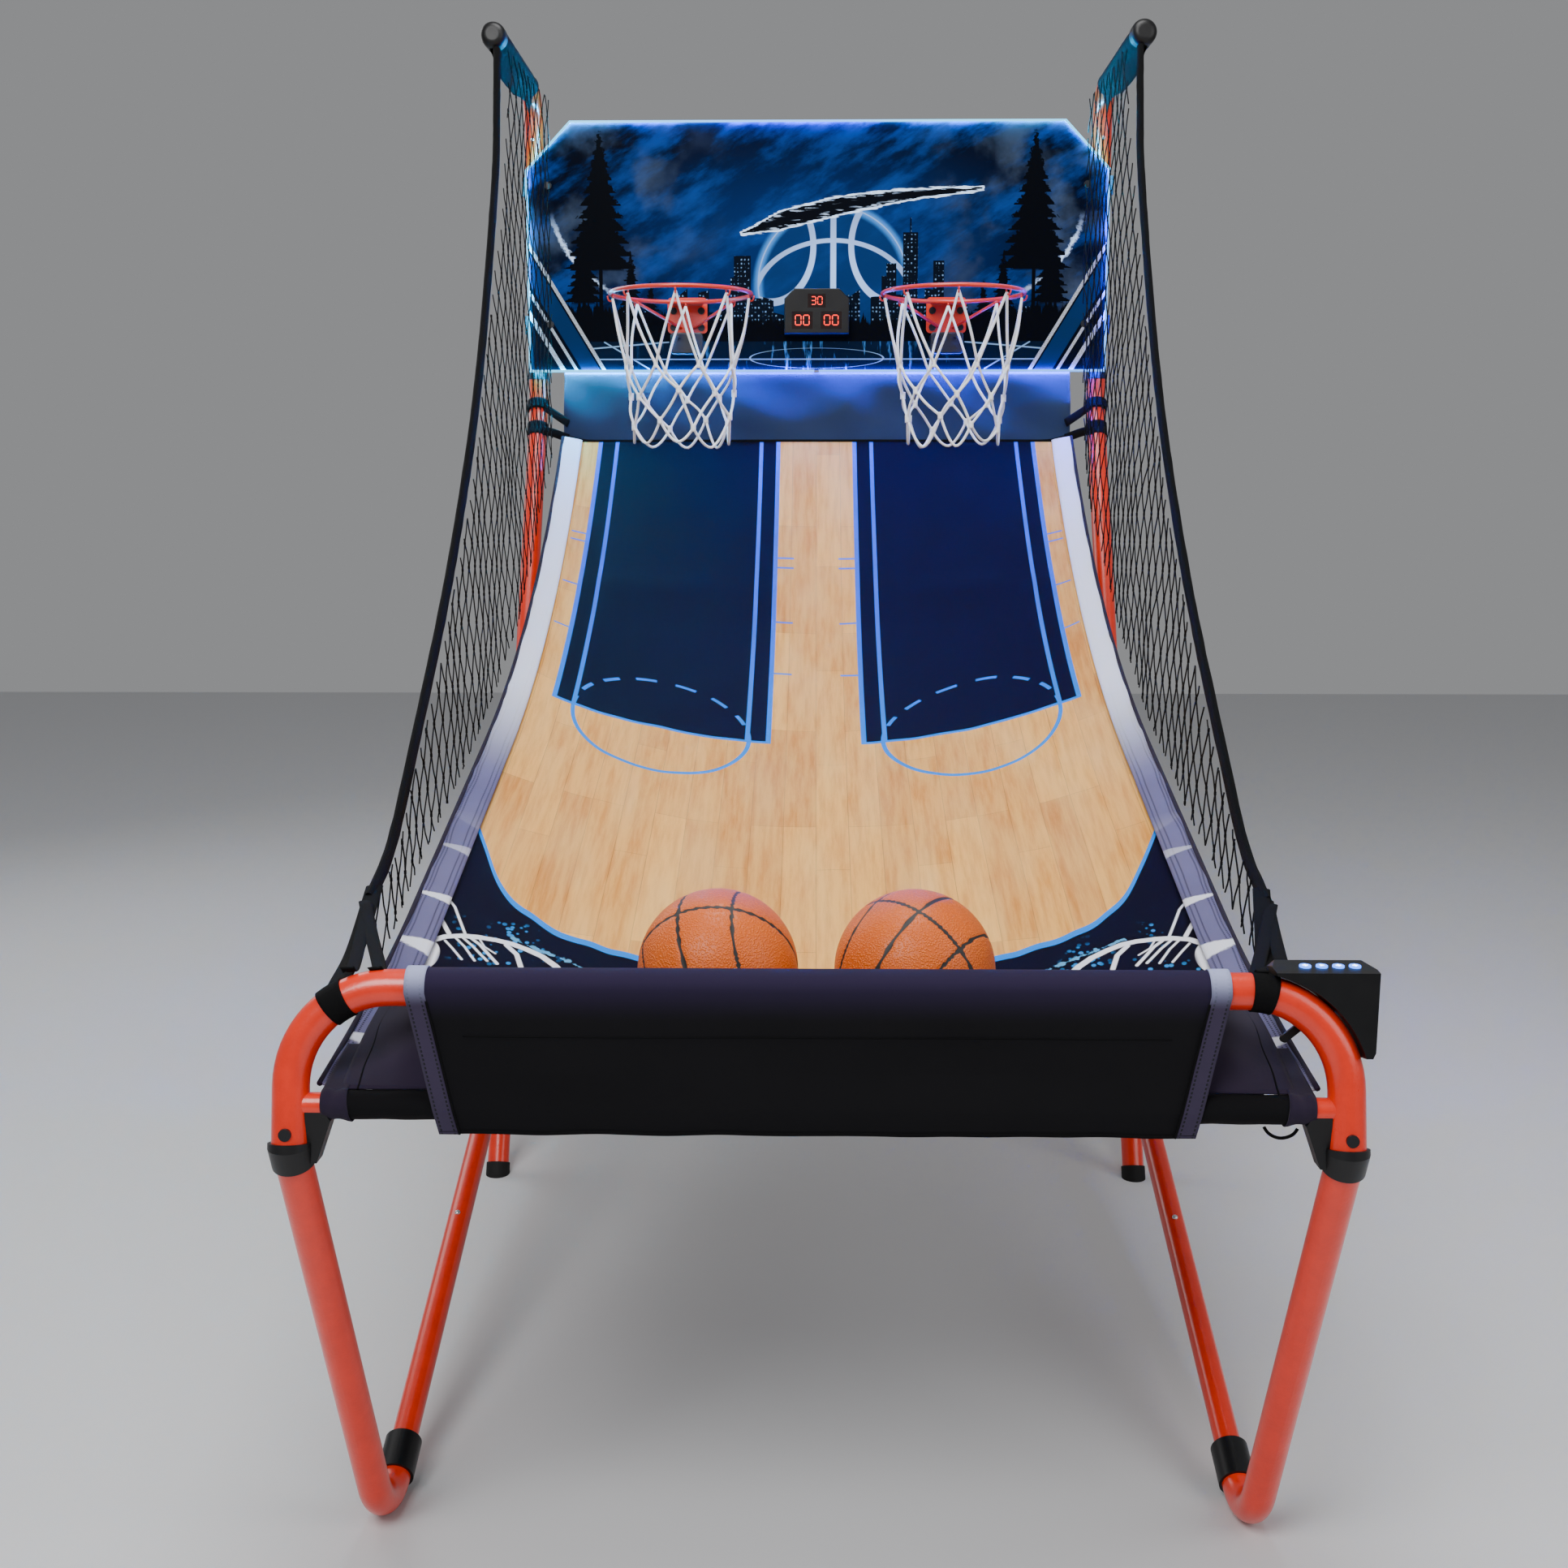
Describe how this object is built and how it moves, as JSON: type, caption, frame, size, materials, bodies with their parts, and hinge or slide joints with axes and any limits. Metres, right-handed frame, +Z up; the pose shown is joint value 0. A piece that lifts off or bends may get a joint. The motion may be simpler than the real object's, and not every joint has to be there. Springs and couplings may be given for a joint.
{
  "type": "basketball hoop machine",
  "caption": "Folding steel-tube basketball shooting game with a fabric ball-return ramp, backboard hoops with nets, scoreboard, lit board edge and clamp-on control box.",
  "frame": {"origin": "on the floor, at the centre of the machine's outline", "axes": "+Z up, +Y from the player towards the backboard, +X to the player's right"},
  "size_m": [1.1928, 2.0549, 2.0344],
  "materials": {
    "orange_steel": "orange-red powder coat, satin gloss",
    "black_plastic": "moulded black plastic, fine grain",
    "black_rubber": "matte rubber",
    "board_print": "printed gloss laminate on fibreboard",
    "led_diffuser": "lit translucent silicone",
    "black_bolt": "black zinc",
    "zinc_steel": "zinc plated",
    "window_tint": "dark tinted window",
    "circuit_board": "green solder mask",
    "net_cord": "braided white cord",
    "black_cloth": "woven black polyester",
    "ramp_print": "printed polyester cloth, maple court with dark keys",
    "ramp_hem": "pale stitched hem",
    "banner_cloth": "coated black polyester with stitched hems",
    "side_mesh": "knotted black netting",
    "lit_key": "backlit blue key",
    "ball_rubber": "pebbled orange rubber with black seams"
  },
  "bodies": {
    "rear_frame": {"arm_end_caps": "black_plastic", "arm_left": "orange_steel", "arm_right": "orange_steel", "arm_sleeves": "black_cloth", "back_panel": "black_cloth", "backboard_panel": "board_print", "board_bolts": "black_bolt", "board_crossbars": "orange_steel", "board_saddle_clamps": "black_plastic", "hoop_left": "orange_steel", "hoop_net_left": "net_cord", "hoop_net_right": "net_cord", "hoop_right": "orange_steel", "led_edge_strip": "led_diffuser", "mast_left": "orange_steel", "mast_right": "orange_steel", "pivot_spacers": "black_plastic", "pole_collars": "black_plastic", "ramp_sheet": "ramp_print", "ramp_side_hems": "ramp_hem", "rear_foot_caps": "black_rubber", "rear_pole_left": "orange_steel", "rear_pole_right": "orange_steel", "score_sensors": "black_plastic", "scoreboard_display_board": "circuit_board", "scoreboard_housing": "black_plastic", "scoreboard_windows": "window_tint", "side_net_left": "side_mesh", "side_net_right": "side_mesh"},
    "front_frame": {"leg_left": "orange_steel", "leg_right": "orange_steel", "bent_foot_left": "orange_steel", "bent_foot_right": "orange_steel", "foot_sleeves": "black_plastic", "brace_front_left": "orange_steel", "brace_front_right": "orange_steel", "brace_rear_left": "orange_steel", "brace_rear_right": "orange_steel", "fold_pivot_bolts": "black_bolt", "front_bar": "orange_steel", "front_bar_bolts": "black_bolt", "corner_couplers": "black_plastic", "crossbar": "orange_steel", "pocket_lining": "black_cloth", "banner": "banner_cloth", "control_box_front": "black_plastic", "control_box_back": "black_plastic", "control_circuit_board": "circuit_board", "drawstring_loop": "black_cloth"},
    "clamp_lever": {"clamp_lever": "black_plastic"},
    "control_key_1": {"control_key_1": "lit_key"},
    "control_key_2": {"control_key_2": "lit_key"},
    "control_key_3": {"control_key_3": "lit_key"},
    "control_key_4": {"control_key_4": "lit_key"},
    "brace_snap_left": {"brace_snap_left": "zinc_steel"},
    "brace_snap_right": {"brace_snap_right": "zinc_steel"},
    "arm_snap_left": {"arm_snap_left": "zinc_steel"},
    "arm_snap_right": {"arm_snap_right": "zinc_steel"},
    "ball_left": {"ball_left": "ball_rubber"},
    "ball_right": {"ball_right": "ball_rubber"}
  },
  "joints": [
    {"name": "front_fold", "type": "hinge", "parent": "rear_frame", "child": "front_frame", "pos_m": [0, 0.60088, 0.561], "axis": [-1, 0, 0], "range_deg": [0, 70], "deforming": ["ramp_side_hems", "side_net_left", "side_net_right"]},
    {"name": "clamp_lever_turn", "type": "hinge", "parent": "front_frame", "child": "clamp_lever", "pos_m": [0.50771, -0.95568, 0.66575], "axis": [0, -0.9813, 0.1925], "range_deg": [0, 90]},
    {"name": "key_1_press", "type": "slide", "parent": "front_frame", "child": "control_key_1", "axis": [0, 0.0854, -0.9963], "range_m": [0, 0.0012], "stiffness_N_per_m": 500, "springref_m": -0.001},
    {"name": "key_2_press", "type": "slide", "parent": "front_frame", "child": "control_key_2", "axis": [0, 0.0854, -0.9963], "range_m": [0, 0.0012], "stiffness_N_per_m": 500, "springref_m": -0.001},
    {"name": "key_3_press", "type": "slide", "parent": "front_frame", "child": "control_key_3", "axis": [0, 0.0854, -0.9963], "range_m": [0, 0.0012], "stiffness_N_per_m": 500, "springref_m": -0.001},
    {"name": "key_4_press", "type": "slide", "parent": "front_frame", "child": "control_key_4", "axis": [0, 0.0854, -0.9963], "range_m": [0, 0.0012], "stiffness_N_per_m": 500, "springref_m": -0.001},
    {"name": "brace_snap_left_press", "type": "slide", "parent": "front_frame", "child": "brace_snap_left", "axis": [0, 0.3734, -0.9277], "range_m": [0, 0.003], "stiffness_N_per_m": 800, "springref_m": -0.002},
    {"name": "arm_snap_left_press", "type": "slide", "parent": "rear_frame", "child": "arm_snap_left", "axis": [0, 1, 0], "range_m": [0, 0.003], "stiffness_N_per_m": 800, "springref_m": -0.002},
    {"name": "ball_left_lift", "type": "slide", "parent": "rear_frame", "child": "ball_left", "axis": [0, 0, 1], "range_m": [0, 0.2]},
    {"name": "brace_snap_right_press", "type": "slide", "parent": "front_frame", "child": "brace_snap_right", "axis": [0, 0.3734, -0.9277], "range_m": [0, 0.003], "stiffness_N_per_m": 800, "springref_m": -0.002},
    {"name": "arm_snap_right_press", "type": "slide", "parent": "rear_frame", "child": "arm_snap_right", "axis": [0, 1, 0], "range_m": [0, 0.003], "stiffness_N_per_m": 800, "springref_m": -0.002},
    {"name": "ball_right_lift", "type": "slide", "parent": "rear_frame", "child": "ball_right", "axis": [0, 0, 1], "range_m": [0, 0.2]}
  ]
}
